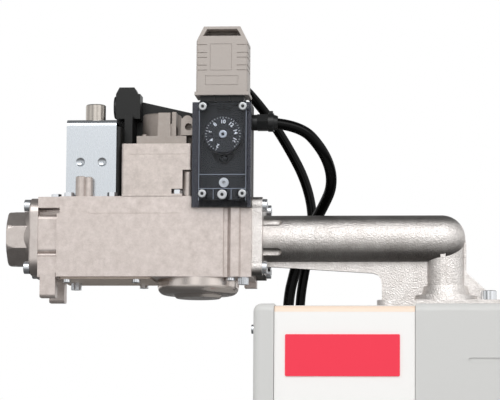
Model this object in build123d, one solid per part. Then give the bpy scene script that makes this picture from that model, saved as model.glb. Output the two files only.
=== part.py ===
from build123d import *
from math import cos, pi, radians, sin, tan
import os

# Industrial gas burner with its gas train, in millimetres.
# Frame: +X is the firing direction, +Z is up, and the origin is on the blast tube's axis
# at the face of the boiler flange. The gas arm rises from the fan housing and carries a
# multi-function gas valve over the rear of the hood.

# ---- driving dimensions: fan housing, hood and blast tube ----
hood_back, hood_end = -311.5, -30.0
hood_half_width = 150.0
hood_top, hood_bottom = 128.5, -170.0
hood_wall = 6.0
hood_edge_radius = 8.0
panel_back, panel_end = -291.5, -156.0
panel_sink = 2.0
panel_thickness = 2.0
panel_wrap = 32.0
badge_back, badge_end = -280.5, -171.0
badge_low, badge_top = 58.5, 98.5
fan_x, fan_z = -212.0, -62.0
fan_radius = 64.0
fan_eye = 43.0
fan_near, fan_far = -22.0, 38.0
fan_blades = 30
scroll_near, scroll_far = -34.0, 49.0
scroll_small, scroll_large = 76.0, 92.0
casting_wall = 4.0
tube_radius, tube_wall, tube_length = 65.0, 2.0, 205.0
tube_shoulder, neck_radius = 1.0, 61.5
flange_thickness, flange_radius = 10.0, 108.0
gasket_thickness = 3.0
flange_pcd, flange_hole_radius = 184.0, 5.5

# ---- driving dimensions: gas train ----
axis_z = 205.0
leg_x = -130.0
arm_radius, arm_bore = 23.6, 18.0
leg_half_width, leg_half_depth = 18.8, 13.5
pad_top = 129.0
arm_plate_top = 141.0
outlet_x = -322.5
train_flange_thickness = 10.3
train_flange_half = 36.0
screw_offset = 31.0
screw_across = 28.0
body_back, body_end = -517.5, outlet_x
body_half = 45.0
body_low, body_top = 163.5, 244.0
body_seam = 227.0
inlet_x = -537.0
inlet_flange_thickness = 9.3
inlet_flange_half = 39.5
boss_length = 25.0
boss_across_flats = 53.5
inlet_thread_radius = 20.3
valve1_x, valve2_x = -485.0, -422.0
seat_z, seat_radius = 226.0, 13.0
disc_lift = 6.0
core_y = -2.0
core_outer, core_inner = 10.2, 8.5
yoke_back, yoke_end = -510.5, -460.0
yoke_near, yoke_far = -31.0, 31.0
yoke_top = 323.5
yoke_sheet = 3.0
coil_end = -455.0
switch_x = -352.3
switch_half_width = 29.5
switch_low, switch_top = 232.5, 338.0
switch_front, switch_rear = -45.0, -13.0
switch_step = -33.0
cover_front = -60.0
cover_x, cover_half_width = -350.3, 24.0
dial_x, dial_z, dial_radius = -350.3, 304.6, 19.0
plug_half_width = 25.8
plug_low, plug_top = 346.2, 414.0
plug_front, plug_rear = -50.0, -14.0
running_gap = 0.05


def block(x, y, z):
    """A box from three (low, high) pairs."""
    size = [b - a for a, b in (x, y, z)]
    centre = [(a + b) / 2 for a, b in (x, y, z)]
    return Pos(*centre) * Box(*size)


def rod_x(radius, x0, x1, y=0.0, z=0.0):
    return Pos((x0 + x1) / 2, y, z) * Rot(0, 90, 0) * Cylinder(radius, x1 - x0)


def rod_y(radius, y0, y1, x=0.0, z=0.0):
    return Pos(x, (y0 + y1) / 2, z) * Rot(90, 0, 0) * Cylinder(radius, y1 - y0)


def rod_z(radius, z0, z1, x=0.0, y=0.0):
    return Pos(x, y, (z0 + z1) / 2) * Cylinder(radius, z1 - z0)


def slab_y(sketch, y0, y1):
    """A sketch drawn in X and Z, given thickness from y0 to y1."""
    face = Plane(origin=(0, y0, 0), x_dir=(1, 0, 0), z_dir=(0, -1, 0)) * sketch
    return extrude(face, y0 - y1)


def slab_z(sketch, z0, z1):
    """A sketch drawn in X and Y, given thickness from z0 to z1."""
    return extrude(Pos(0, 0, z0) * sketch, z1 - z0)


def slab_x(sketch, x0, x1):
    """A sketch drawn in Y and Z, given thickness from x0 to x1."""
    face = Plane(origin=(x0, 0, 0), x_dir=(0, 1, 0), z_dir=(1, 0, 0)) * sketch
    return extrude(face, x1 - x0)


def at(x, z):
    """Where a slab_y sketch has this X and Z."""
    return Pos(x, z)


def outline(*points):
    return make_face(Polyline(*points, close=True))


def joined(shapes):
    total = None
    for shape in shapes:
        total = shape if total is None else total + shape
    return total


def group(shapes):
    return Compound(children=[s for shape in shapes for s in shape.solids()])


parts = {}


def keep(name, shape):
    parts[name] = shape


def cap_screw(shank, length, head, height, socket, tip, way):
    """A socket head screw whose head's seat is at tip and whose shank runs along way."""
    z = Vector(*way)
    body = rod_z(shank, 0, length) + rod_z(head, -height, 0)
    body = chamfer(body.edges().sort_by(Axis.Z)[0], 0.08 * head)
    recess = slab_z(RegularPolygon(socket, 6), -height - 1, -height * 0.45)
    return Plane(origin=tip, z_dir=z) * (body - recess)


def hex_screw(shank, length, across, height, tip, way):
    """A hexagon head screw whose head's seat is at tip and whose shank runs along way."""
    head = slab_z(RegularPolygon(across / 2, 6, major_radius=False), -height, 0)
    return Plane(origin=tip, z_dir=Vector(*way)) * (head + rod_z(shank, 0, length))


# ---- fan housing ----
def scroll_sketch(inset):
    """The volute, a spiral that grows towards the outlet at the upper front."""
    turns = [(scroll_small + (scroll_large - scroll_small) * i / 10 - inset, i) for i in range(11)]
    start, sweep = radians(-35), radians(-255)
    spiral = [
        (fan_x + r * cos(start + sweep * i / 10), fan_z + r * sin(start + sweep * i / 10))
        for r, i in turns
    ]
    curve = Spline(*spiral)
    corner = (-96.0, spiral[-1][1])
    foot = (-96.0, spiral[0][1])
    return make_face(curve + Line(spiral[-1], corner) + Line(corner, foot) + Line(foot, spiral[0]))


def fan_housing():
    outer = slab_y(scroll_sketch(0), scroll_near, scroll_far)
    duct = block((-125, -24), (-68, 68), (-68, 68))
    duct = fillet(duct.edges().filter_by(Axis.X), 20)
    front = slab_x(RectangleRounded(166, 166, 14), -24, -13)
    gas_boss = rod_z(30, 40, pad_top, leg_x)
    pad = slab_z(Pos((-195 - 76) / 2, 0) * RectangleRounded(112, 60, 10), pad_top - 12, pad_top)
    ribs = joined(block((x - 3, x + 3), (-26, 26), (60, pad_top - 10)) for x in (-170, -88))
    shell = outer + duct + front + gas_boss + pad + ribs
    inner = slab_y(scroll_sketch(casting_wall), scroll_near + casting_wall, scroll_far - casting_wall)
    shell -= inner
    shell -= rod_x(60, -121, -12)
    collar = rod_x(24, -146, -95) + rod_z(23, 0, 62, leg_x)
    shell += collar & block((-146, -95), (-60, 60), (-24, 62))
    shell -= rod_z(arm_bore, 0, pad_top + 1, leg_x)
    shell -= rod_x(18.0 + running_gap, -147, -90)
    shell -= rod_y(fan_eye, scroll_near - 1, scroll_near + casting_wall + 1, fan_x, fan_z)
    shell -= rod_y(30, scroll_far - casting_wall - 1, scroll_far + 1, fan_x, fan_z)
    for x, y in arm_bolt_places:
        shell -= rod_z(5.0, pad_top - 11, pad_top + 1, x, y)
    for y in (-70, 70):
        for z in (-70, 70):
            shell -= rod_x(4.0, -25, -12, y, z)
    return shell


arm_bolt_places = [(-87, -20), (-87, 20), (-178, -20), (-178, 20)]


def fan_wheel():
    """Forward-curved centrifugal wheel: back plate, shroud ring, hub and blades."""
    plate = rod_y(fan_radius, fan_far - 2, fan_far, fan_x, fan_z)
    ring = rod_y(fan_radius, fan_near, fan_near + 2, fan_x, fan_z)
    ring -= rod_y(fan_radius - 15, fan_near - 1, fan_near + 3, fan_x, fan_z)
    hub = rod_y(14, fan_far - 24, fan_far, fan_x, fan_z)
    blade_curve = ThreePointArc((0, 0), (6.5, 3.0), (13.5, 0.5))
    blade = make_face(offset(blade_curve, 0.7, side=Side.BOTH))
    blades = []
    for i in range(fan_blades):
        turn = Rot(0, 0, 360 * i / fan_blades)
        blades.append(at(fan_x, fan_z) * turn * Pos(fan_radius - 14.5, 0) * blade)
    vanes = joined(slab_y(b, fan_near + 1, fan_far - 1) for b in blades)
    wheel = plate + ring + hub + vanes
    return wheel - rod_y(6, fan_near, fan_far + 1, fan_x, fan_z)


def motor():
    """Motor case with cooling ribs, end shields and bearing seats, and the rotor inside."""
    near, far = scroll_far, 139.0
    case = rod_y(50, near, far, fan_x, fan_z)
    ribs = []
    for i in range(18):
        rib = at(fan_x, fan_z) * Rot(0, 0, 20 * i) * Pos(52, 0) * Rectangle(8, 2.2)
        ribs.append(slab_y(rib, near + 12, far - 12))
    case += joined(ribs)
    case -= rod_y(38, near + 8, far - 8, fan_x, fan_z)
    case -= rod_y(6.0 + running_gap, near - 1, far - 3, fan_x, fan_z)
    keep("motor_case", case)
    shaft = rod_y(6.0, fan_near - 4, far - 4, fan_x, fan_z)
    keep("motor_rotor", chamfer(shaft.edges(), 0.8) + rod_y(35, near + 20, far - 20, fan_x, fan_z))
    foot = block((fan_x - 20, fan_x + 20), (75, 115), (fan_z + 48, fan_z + 66))
    foot -= rod_y(50, near, far, fan_x, fan_z)
    for i in range(18):
        rib = at(fan_x, fan_z) * Rot(0, 0, 20 * i) * Pos(52, 0) * Rectangle(8.6, 2.8)
        foot -= slab_y(rib, near + 12, far - 12)
    keep("motor_capacitor", foot.solids().sort_by(SortBy.VOLUME)[-1] + rod_y(15, 70, 120, fan_x, fan_z + 79))


def air_intake():
    """Air box in front of the wheel's eye, with the damper in its throat."""
    near, far = -112.0, scroll_near
    back, end, low, top = fan_x - 55.0, fan_x + 52.0, fan_z - 74.0, fan_z + 54.0
    case = block((back, end), (near, far), (low, top))
    case = fillet(case.edges().filter_by(Axis.Y).group_by(Axis.Z)[-1], 26)
    case -= block((back + 3, end - 3), (near + 3, far - 3), (low - 1, top - 3))
    case -= rod_y(fan_eye, far - 4, far + 1, fan_x, fan_z)
    damper_y, damper_z = (near + far) / 2, low + 12
    case -= rod_x(4 + running_gap, back - 1, end + 1, damper_y, damper_z)
    keep("air_box", case)
    shaft = rod_x(4, back - 5, end + 22, damper_y, damper_z)
    blade = block((back + 4, end - 4), (near + 4.5, far - 4.5), (damper_z - 1, damper_z + 1))
    flare = rod_x(6, back + 4.5, end - 4.5, damper_y, damper_z)
    keep("damper_blade", shaft + blade + flare)
    drive = block((end, end + 34), (damper_y - 24, damper_y + 24), (damper_z - 18, damper_z + 36))
    drive = fillet(drive.edges().filter_by(Axis.X), 5)
    keep("damper_actuator", drive - rod_x(4 + running_gap, end - 1, end + 24, damper_y, damper_z))


# ---- blast tube and mixing head ----
def blast_tube():
    tube = rod_x(tube_radius, tube_shoulder, tube_length) - rod_x(tube_radius - tube_wall, tube_shoulder + 2, tube_length + 1)
    tube += rod_x(neck_radius, -13, tube_shoulder + 1)
    tube -= rod_x(neck_radius - tube_wall, -14, tube_shoulder + 3)
    lip = rod_x(tube_radius - 1, tube_length - 12, tube_length)
    lip -= rod_x(tube_radius - 9, tube_length - 13, tube_length + 1)
    keep("blast_tube", tube + lip)
    holes = [
        (flange_pcd / 2 * cos(radians(a)), flange_pcd / 2 * sin(radians(a)))
        for a in (45, 135, 225, 315)
    ]
    flat = slab_x(RectangleRounded(166, 166, 30), -gasket_thickness - flange_thickness, -gasket_thickness)
    collar = rod_x(tube_radius + 7, -gasket_thickness - flange_thickness, -gasket_thickness)
    gasket = slab_x(RectangleRounded(162, 162, 30), -gasket_thickness, 0)
    flange = flat + collar
    for y, z in holes:
        flange -= rod_x(flange_hole_radius, -30, 1, y, z)
        gasket -= rod_x(flange_hole_radius, -30, 1, y, z)
    hollow = rod_x(neck_radius, -30, 1)
    keep("boiler_flange", flange - hollow)
    keep("flange_gasket", gasket - hollow)


def mixing_head():
    """Gas lance that slides in the housing's collar, with its nozzle, baffle and electrodes."""
    lance = rod_x(18.0, -144, 150) - rod_x(15.5, -141, 146)
    lance -= rod_z(13, 0, 30, leg_x)
    for i in range(8):
        lance -= Rot(45 * i + 22.5, 0, 0) * rod_z(2.6, 10, 24, 138)
    clip = block((60, 65), (-44, 44), (-31, -10)) + rod_x(24, 60, 65)
    clip -= rod_x(17, 59, 66)
    for y in (-36, 36):
        clip -= rod_x(6, 59, 66, y, -24)
    keep("gas_lance", lance + clip)
    baffle = rod_x(51, 154, 156) - rod_x(11, 150, 160)
    baffle += rod_x(51, 148, 156) - rod_x(49.5, 147, 157)
    slots = []
    for i in range(12):
        slot = Rot(0, 0, 30 * i) * Pos(33, 0) * Rot(0, 0, 18) * RectangleRounded(24, 5, 2.4)
        slots.append(slab_x(slot, 150, 160))
    for s in slots:
        baffle -= s
    for y in (-36, 36):
        baffle -= rod_x(3, 140, 160, y, -24)
    stay = joined(rod_x(2.5, 150, 154.5, 13.5 * cos(a), 13.5 * sin(a)) for a in (pi / 2, pi * 7 / 6, pi * 11 / 6))
    keep("baffle_plate", baffle + stay)
    keep("electrodes", group([electrode(36, 62), electrode(-36, 76)]))


def electrode(y, reach):
    """A ceramic body beside the lance, with its wire through a slot of the baffle."""
    ceramic = rod_x(6, 40, 110, y, -24) + rod_x(4.2, 110, 128, y, -24)
    return ceramic + rod_x(1.2, 128, 100 + reach, y, -24)


# ---- hood and what is under it ----
def hood():
    shell = hood_core(0)
    shell -= block(
        (hood_back + hood_wall, hood_end - hood_wall),
        (-hood_half_width + hood_wall + 2, hood_half_width - hood_wall - 2),
        (hood_bottom - 1, hood_top - hood_wall),
    )
    for side in (-1, 1):
        band = side_band(side, 0.0)
        shell -= band - hood_core(panel_sink + panel_thickness)
    shell -= slab_z(Pos((-195 - 76) / 2, 0) * RectangleRounded(116, 64, 12), hood_top - 10, hood_top + 1)
    for x, y in cable_entries:
        shell -= rod_z(grommet_radius, hood_top - 10, hood_top + 1, x, y)
    shell -= slab_x(RectangleRounded(172, 172, 12), hood_end - 10, hood_end + 1)
    shell -= rod_x(button_radius + 0.4, hood_back - 1, hood_back + 10, button_y, button_z)
    for z in (-60, -20):
        shell -= slab_x(Pos(0, z) * RectangleRounded(120, 8, 3.9), hood_back - 1, hood_back + 10)
    for side in (-1, 1):
        groove = at(-58, 73.5) * RectangleRounded(96, 5.5, 2.7)
        shell -= slab_y(groove, *sorted((side * 160, side * (hood_half_width - 1.2))))
        y = sorted((side * 160, side * 130))
        for i in range(6):
            shell -= slab_y(at(-93, -110 + 11 * i) * RectangleRounded(74, 4.5, 2.2), *y)
    for y, z in hood_screw_places:
        shell -= rod_x(2.5, hood_back - 1, hood_back + 10, y, z)
    keep("hood_shell", shell)
    keep("side_panels", group([side_panel(-1), side_panel(1)]))
    badge = slab_y(
        at((badge_back + badge_end) / 2, (badge_low + badge_top) / 2)
        * RectangleRounded(badge_end - badge_back, badge_top - badge_low, 1.2),
        -hood_half_width + panel_sink - 1.0,
        -hood_half_width + panel_sink,
    )
    keep("badge_plate", badge)
    x = (hood_back + hood_wall, hood_end - hood_wall)
    y = hood_half_width - hood_wall - 2
    pan = block(x, (-y, y), (hood_bottom, hood_bottom + 3))
    for i in range(9):
        slot = Pos(fan_x - 48 + 12 * i, -73) * RectangleRounded(5, 60, 2.4)
        pan -= slab_z(slot, hood_bottom - 1, hood_bottom + 4)
    keep("base_pan", pan)


cable_entries = [(-291.5, 42.0), (-280.5, 58.0)]
grommet_radius = 8.6
button_y, button_z, button_radius = -60.0, 88.0, 9.0


def hood_core(inset):
    """The hood's rounded outside, moved inwards by this much."""
    half, top = hood_half_width - inset, hood_top - inset
    radius = hood_edge_radius - 0.5 * inset
    core = block((hood_back, hood_end), (-half, half), (hood_bottom, top))
    rounded = core.edges().filter_by(Axis.Z) + core.faces().sort_by(Axis.Z)[-1].edges()
    return fillet(rounded, radius)


def side_band(side, gap):
    """The stretch of one side that a panel covers, from low on the side to over the top edge."""
    y = sorted((side * (hood_half_width + 1), side * (hood_half_width - panel_wrap + gap)))
    return block((panel_back + gap, panel_end - gap), y, (hood_bottom + 12 + gap, hood_top + 1))


def side_panel(side):
    """A side panel that wraps over the hood's top edge, sunk below the hood's surface."""
    skin = hood_core(panel_sink) - hood_core(panel_sink + panel_thickness)
    return skin & side_band(side, 0.4)


def under_hood():
    keep("control_box", control_box())
    coil = fillet(block((-150, -66), (-128, -82), (70, 120)).edges().filter_by(Axis.Z), 4)
    keep("ignition_transformer", coil + rod_x(9, -66, -48, -105, 95))
    block_under = block((-303, -268), (30, 70), (86, 112))
    block_under += block((-300, -271), (34, 66), (70, 86))
    keep("terminal_block", block_under)
    stem = rod_x(button_radius, hood_back - 4, hood_back + 9, button_y, button_z)
    stem = fillet(stem.edges().sort_by(Axis.X)[0], 1.2)
    keep("reset_button", stem + rod_x(4, hood_back + 8, -284, button_y, button_z))
    rings = []
    for (x, y), r in zip(cable_entries, (cable2_radius, cable1_radius)):
        ring = rod_z(grommet_radius, hood_top - 5, hood_top + 0.2, x, y) + rod_z(grommet_radius + 1.8, hood_top, hood_top + 2.2, x, y)
        rings.append(ring - rod_z(r, hood_top - 9, hood_top + 9, x, y))
    keep("cable_grommets", group(rings))
    screws = [cap_screw(2.5, 10, 4.5, 3.2, 2.0, (hood_back, y, z), (1, 0, 0)) for y, z in hood_screw_places]
    keep("hood_screws", group(screws))


hood_screw_places = [(y, z) for y in (-125, 125) for z in (-150, 105)]


def control_box():
    box = block((-292, -222), (-104, -24), (66, 119))
    box = fillet(box.edges().filter_by(Axis.Z), 5)
    box -= rod_x(4.2, -293, -276, button_y, button_z)
    return box


# ---- gas arm ----
def gas_arm():
    tube = rod_x(arm_radius, outlet_x + 2, leg_x - 4, 0, axis_z)
    tube += Pos(leg_x - 4, 0, axis_z) * Sphere(arm_radius)
    leg = slab_z(Pos(leg_x, 0) * Ellipse(leg_half_width, leg_half_depth), arm_plate_top - 6, axis_z)
    collar = Pos(leg_x, 0, 152) * Cone(24.5, 22.0, 10)
    tier = Pos(leg_x, 0, 143.5) * Cone(32.5, 31.0, 7)
    plate = slab_z(Pos((-198 - 70) / 2, 0) * RectangleRounded(128, 74, 12), pad_top + 0.5, arm_plate_top)
    web_points = [
        (outlet_x + 4, axis_z),
        (outlet_x + 4, 177.5),
        (-203, 170.3),
        (-197.8, 168.4),
        (-195, 164.4),
        (-194, 158),
        (-194, arm_plate_top - 4),
        (-79, arm_plate_top - 4),
        (-79, 143),
        (-109.5, 171),
        (-109.5, 200),
        (-113, 216.5),
        (-120, 224.3),
        (-134, 215),
    ]
    web = slab_y(outline(*web_points), -3, 3)
    flange = slab_x(Pos(0, axis_z) * RectangleRounded(2 * train_flange_half, 2 * train_flange_half, 9), outlet_x, outlet_x + train_flange_thickness)
    lugs = joined(
        rod_x(8.5, outlet_x, outlet_x + train_flange_thickness, y, z)
        for y, z in train_screw_places
    )
    arm = tube + leg + collar + tier + plate + web + flange + lugs
    arm += tall_rib()
    notch = 9.2
    for y, z in train_screw_places:
        x0 = outlet_x + train_flange_thickness
        arm -= rod_x(notch, x0, x0 + 16, y, z)
        arm -= Pos(x0 + 16, y, z) * Sphere(notch)
        arm -= rod_x(4.2, outlet_x - 1, x0 + 1, y, z)
    arm -= rod_x(arm_bore, outlet_x - 1, leg_x, 0, axis_z)
    arm -= Pos(leg_x, 0, axis_z) * Sphere(arm_bore)
    arm -= slab_z(Pos(leg_x, 0) * Ellipse(leg_half_width - 4, leg_half_depth - 4), pad_top - 1, axis_z)
    for y in (-19.5, 19.5):
        for z in (-15.5, 15.5):
            x0 = outlet_x + train_flange_thickness
            arm -= rod_x(4.6, x0, x0 + 14, y, axis_z + z) + Pos(x0 + 14, y, axis_z + z) * Sphere(4.6)
    for x, y in arm_bolt_places:
        arm -= rod_z(5.25, pad_top - 1, arm_plate_top + 1, x, y)
    for x, y in arm_bolt_places[2:]:
        arm -= rod_z(8.8, pad_top + 3.5, arm_plate_top + 20, x, y)
    return arm


def tall_rib():
    """A narrow rib down the front and back of the leg, square to the web."""
    half = leg_half_depth + 3.0
    return block((leg_x - 5.0, leg_x), (-half, half), (arm_plate_top, axis_z - 16))


train_screw_places = [
    (y, axis_z + z) for y in (-screw_across, screw_across) for z in (-screw_offset, screw_offset)
]


# ---- gas valve ----
def valve_plan():
    """The body seen from above: a full front on the inlet side, stepped back on the outlet side."""
    front = -body_half
    return outline(
        (body_back, front),
        (-398.0, front),
        (-378.0, front + 4.0),
        (-350.5, front + 4.0),
        (-350.5, front + 7.0),
        (-346.5, front + 7.0),
        (-343.0, front + 3.5),
        (-335.0, front + 3.5),
        (-333.0, front + 6.0),
        (body_end, front + 6.0),
        (body_end, -front - 6.0),
        (-345.0, -front - 6.0),
        (-352.0, -front),
        (body_back, -front),
    )


def valve_body():
    lower = slab_z(valve_plan(), body_low, body_seam)
    upper = slab_z(valve_plan(), body_seam, body_top) & block(
        (body_back + 2.8, body_end), (-body_half + 1.0, body_half - 1.0), (body_seam, body_top)
    )
    neck = block((inlet_x, body_back + 4), (-39, 39), (187.0, 226.5))
    neck = fillet(neck.edges().filter_by(Axis.X), 5)
    neck += block((inlet_x, body_back + 4), (-28, 28), (181.0, 230.0))
    neck += joined(rod_x(2.4, inlet_x, body_back + 1, s * 37.0, 185.3) for s in (-1, 1))
    lugs = [
        block((inlet_x, body_back + 4), sorted((s * 40, s * 16)), (axis_z + 28, body_top)) for s in (-1, 1)
    ]
    lugs += [
        block((inlet_x, body_back + 1), sorted((s * 40, s * 14)), (body_low, axis_z - 21)) for s in (-1, 1)
    ]
    feet = []
    for s in (-1, 1):
        foot = block((inlet_x + 2.8, body_back - 1.2), sorted((s * 42, s * 24)), (143, body_low + 4))
        feet.append(fillet(foot.edges().filter_by(Axis.X).group_by(Axis.Z)[0], 3))
    back_foot = block((body_end - 12, body_end), (24, 38), (158, body_low + 4))
    seam = block((-486, -349), (-body_half - 1, -body_half + 1.4), (body_seam - 0.9, body_seam))
    body = lower - seam + upper + neck + joined(lugs) + joined(feet) + back_foot
    body -= block((switch_x - 30.2, body_end + 1), (-body_half - 1, switch_step), (switch_low, body_top + 1))
    body -= rod_x(arm_bore, inlet_x - 1, valve1_x + 14, 0, axis_z)
    body -= rod_x(arm_bore, valve2_x - 14, body_end + 1, 0, axis_z)
    body -= block((valve1_x - 20, valve2_x + 20), (core_y - 20, core_y + 20), (seat_z, 240))
    for x in (valve1_x, valve2_x):
        body -= rod_z(seat_radius, axis_z, seat_z + 1, x, core_y)
        body -= rod_z(4.5, 239, body_top + 1, x, core_y)
    for y, z in train_screw_places:
        body -= rod_x(3.9, inlet_x - 1, inlet_x + 17, y, z)
        body -= rod_x(3.9, body_end - 17, body_end + 1, y, z)
    for x, y in top_screw_places:
        body -= rod_z(2.5, body_top - 8, body_top + 1, x, y)
    body -= rod_z(2.5, body_top - 8, body_top + 1, *governor_screw)
    for x, y in bottom_screw_places:
        body -= rod_z(2.5, body_low - 1, body_low + 10, x, y)
    return body


top_screw_places = [(-521, -24), (-521, 24), (-506.0, -38), (-462.5, -38)]
bottom_screw_places = [(-508, -34), (-438, -34), (-508, 34), (-438, 34), (-343.5, -31)]
bottom_cover_end = -422.5
governor_screw = (-397.0, -38.0)


def lower_fittings():
    plate = block((body_back + 2, bottom_cover_end), (-40, 40), (body_low - 2, body_low))
    plate = fillet(plate.edges().filter_by(Axis.Z), 4)
    for x, y in bottom_screw_places[:4]:
        plate -= rod_z(2.7, body_low - 5, body_low + 1, x, y)
    keep("bottom_cover", plate)
    dish = revolve(
        Pos(-379, 0, 0) * Plane.XZ
        * make_face(
            FilletPolyline(
                (0, body_low - 18.5), (22, body_low - 18.5), (25, body_low - 15.5),
                (41, body_low - 15.0), (41, body_low),
                radius=(1.2, 1.2, 8.0),
            )
            + Line((41, body_low), (0, body_low))
            + Line((0, body_low), (0, body_low - 18.5))
        ),
        Axis((-379, 0, 0), (0, 0, 1)),
    )
    keep("governor_dish", dish)
    screws = [
        cap_screw(2.45, 9, 4.6, 3.4, 2.3, (x, y, body_low - (2 if x < bottom_cover_end else 0)), (0, 0, 1))
        for x, y in bottom_screw_places
    ]
    keep("bottom_screws", group(screws))
    taps = [test_nipple((-504, 8, body_low - 2), (0, 0, -1)), test_nipple((-331.0, -31, body_low), (0, 0, -1))]
    keep("lower_test_plugs", group(taps))


def test_nipple(tip, way):
    """A knurled test plug standing on a surface at tip."""
    body = slab_z(Circle(5.4), 0, 7.2)
    for i in range(12):
        body -= Rot(0, 0, 30 * i) * Pos(5.5, 0, 4) * Cylinder(0.55, 5.5)
    body -= slab_z(RegularPolygon(2.6, 6), 4, 8)
    return Plane(origin=tip, z_dir=Vector(*way)) * body


def inlet_flange():
    x1 = inlet_x
    x0 = x1 - inlet_flange_thickness
    plate = slab_x(Pos(0, axis_z) * RectangleRounded(80, 2 * inlet_flange_half - 1, 16), x0, x1)
    plate = fillet(plate.edges().group_by(Axis.X)[0], 1.8)
    boss = slab_x(Pos(0, axis_z) * Rot(0, 0, 22.5) * RegularPolygon(boss_across_flats / 2, 8, major_radius=False), x0 - boss_length, x0)
    rounding = Pos(x0 - boss_length / 2, 0, axis_z) * Rot(0, 90, 0) * Cone(27.4, 32.0, boss_length)
    boss &= rounding + rod_x(28.2, x0 - boss_length + 1.5, x0, 0, axis_z)
    skirt = Pos(x0 - 4, 0, axis_z) * Rot(0, 90, 0) * Cone(26.0, 31.5, 8)
    flange = plate + boss + skirt
    flange -= rod_x(inlet_thread_radius, x0 - boss_length - 1, x0 - 3, 0, axis_z)
    flange -= rod_x(arm_bore, x0 - 4, x1 + 1, 0, axis_z)
    mouth = Pos(x0 - boss_length + 0.75, 0, axis_z) * Rot(0, 90, 0) * Cone(inlet_thread_radius + 1.5, inlet_thread_radius, 1.5)
    flange -= mouth
    for y, z in train_screw_places:
        flange -= rod_x(4.2, x0 - 1, x1 + 1, y, z)
        flange -= rod_x(7.6, x0 - 12, x0, y, z)
    keep("inlet_flange", flange)
    screws = [cap_screw(3.8, 22, 6.5, 6.0, 3.4, (x0, y, z), (1, 0, 0)) for y, z in train_screw_places]
    keep("inlet_screws", group(screws))
    seat = outlet_x + train_flange_thickness
    outs = [cap_screw(3.8, 22, 6.5, 4.8, 3.4, (seat, y, z), (-1, 0, 0)) for y, z in train_screw_places]
    keep("outlet_screws", group(outs))


def armature(x):
    """The moving half of a solenoid valve: the iron core with its stem and the disc on its seat."""
    core = rod_z(core_inner - 0.08, 262, 296, x, core_y)
    core = chamfer(core.edges().filter_by(GeomType.CIRCLE).sort_by(Axis.Z)[-1], 0.6)
    disc = rod_z(16, seat_z, seat_z + 2.4, x, core_y) + rod_z(13, seat_z + 2.4, seat_z + 4, x, core_y)
    return core + rod_z(3.0, seat_z + 3, 263, x, core_y) + disc


def core_tube(x, top):
    tube = rod_z(core_outer, body_top, top, x, core_y) + rod_z(14, body_top, body_top + 3, x, core_y)
    tube -= rod_z(core_inner, body_top + 3, 306, x, core_y)
    tube -= rod_z(3.4, body_top - 1, body_top + 4, x, core_y)
    return chamfer(tube.edges().filter_by(GeomType.CIRCLE).sort_by(Axis.Z)[-1], 1.0)


def inlet_solenoid():
    mid = (yoke_back + yoke_end) / 2
    lid = block((yoke_back, yoke_end), (yoke_near, yoke_far), (body_top + 3, yoke_top))
    lid = fillet(lid.edges().filter_by(Axis.X).group_by(Axis.Z)[-1], 6.5)
    lid -= fillet(
        block(
            (yoke_back - 1, yoke_end + 1),
            (yoke_near + yoke_sheet, yoke_far - yoke_sheet),
            (body_top - 1, yoke_top - yoke_sheet),
        ).edges().filter_by(Axis.X).group_by(Axis.Z)[-1],
        3.5,
    )
    lid -= rod_z(core_outer, yoke_top - 10, yoke_top + 1, valve1_x, core_y)
    for x in (mid - 11, mid + 11):
        for y, way in ((yoke_near, 1), (yoke_far, -1)):
            lid -= Pos(x, y - way * 4.6, 280) * Sphere(6.5)
    plate = block((yoke_back, yoke_end), (yoke_near, yoke_far), (body_top, body_top + 3))
    keep("coil_yoke", lid + plate - rod_z(14, body_top - 1, body_top + 4, valve1_x, core_y))
    coil = block((-506, coil_end), (yoke_near + 3.2, yoke_far - 3.2), (body_top + 3, yoke_top - 7))
    coil = fillet(coil.edges().filter_by(Axis.Z), 4)
    keep("coil_block", coil - rod_z(core_outer, body_top, yoke_top, valve1_x, core_y))
    keep("core_tubes", group([core_tube(valve1_x, 342), core_tube(valve2_x, 318)]))
    keep("inlet_armature", armature(valve1_x))


def upper_fittings():
    posts = [(5.2, 264.5, -494.4, -38.4), (4.7, 264.0, -487.0, -37.2), (4.1, 269.0, -386.6, -37.5)]
    shapes = []
    for r, top, x, y in posts:
        post = chamfer(rod_z(r, body_top, top, x, y).edges().sort_by(Axis.Z)[-1], 0.8)
        shapes.append(post - rod_z(1.8, top - 6, top + 1, x, y))
    keep("test_nipples", group([shapes[0] + shapes[1], shapes[2]]))
    screws = [hex_screw(2.45, 7.5, 9, 4.2, (x, y, body_top), (0, 0, -1)) for x, y in top_screw_places]
    screws.append(hex_screw(2.45, 9.5, 9.5, 4.4, (*governor_screw, body_top + 2.2), (0, 0, -1)))
    keep("top_screws", group(screws))


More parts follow.
